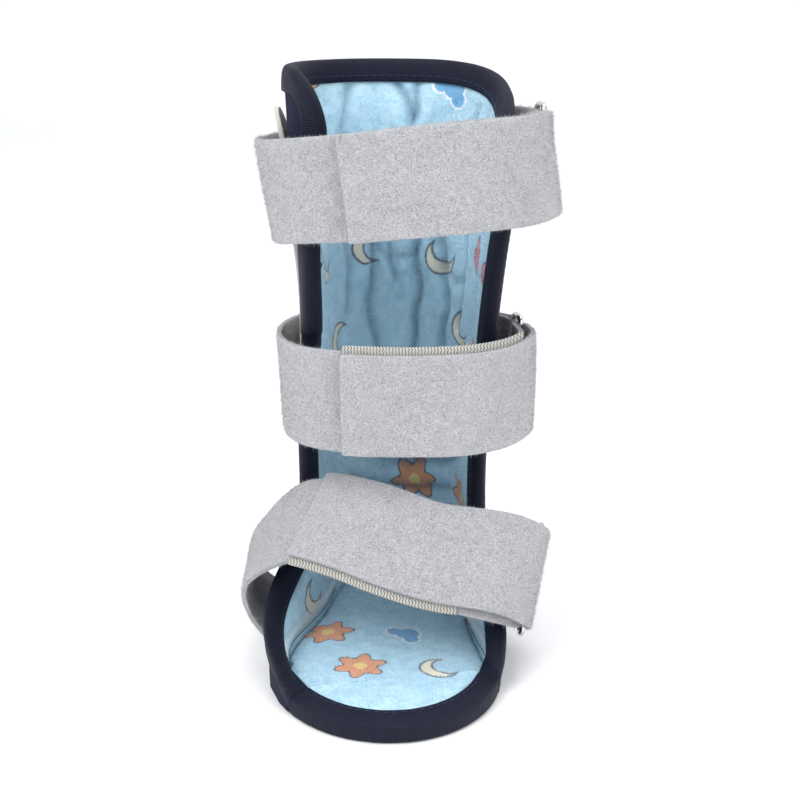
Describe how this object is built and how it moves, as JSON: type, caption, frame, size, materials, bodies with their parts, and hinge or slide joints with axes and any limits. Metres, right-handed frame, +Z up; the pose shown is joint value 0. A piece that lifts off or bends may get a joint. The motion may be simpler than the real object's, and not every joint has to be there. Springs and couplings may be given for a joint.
{
  "type": "child's ankle-foot splint boot",
  "caption": "Open-front, open-toe padded splint boot with a stiffened calf panel and straps that fold back through metal rings",
  "frame": {"origin": "on the floor plane under the middle of the calf, on the underside of the sole", "axes": "+Z up, +Y towards the heel, -Y towards the toes, +X towards the side with the rings (the wearer's left when the boot is worn)"},
  "size_m": [0.121, 0.1533, 0.2248],
  "materials": {
    "shell_cloth": "dark navy brushed loop cloth",
    "lining_cloth": "light blue plush with a printed pattern",
    "binding_tape": "ribbed navy tape, stitched",
    "strap_cloth": "light grey brushed loop cloth",
    "hook_tape": "beige woven hook tape",
    "ring_metal": "bright nickel-plated wire",
    "stay_plastic": "pale grey satin"
  },
  "bodies": {
    "root": {"outer_shell": "shell_cloth", "upper_lining": "lining_cloth", "footbed_lining": "lining_cloth", "upper_binding": "binding_tape", "toe_binding": "binding_tape", "side_stay": "stay_plastic", "strap_top": "strap_cloth", "hook_tape_top": "hook_tape", "ring_top": "ring_metal", "ring_tab_top": "strap_cloth", "strap_middle": "strap_cloth", "hook_tape_middle": "hook_tape", "ring_middle": "ring_metal", "ring_tab_middle": "strap_cloth", "strap_instep": "strap_cloth", "hook_tape_instep": "hook_tape", "ring_instep": "ring_metal", "ring_tab_instep": "strap_cloth"}
  },
  "joints": []
}
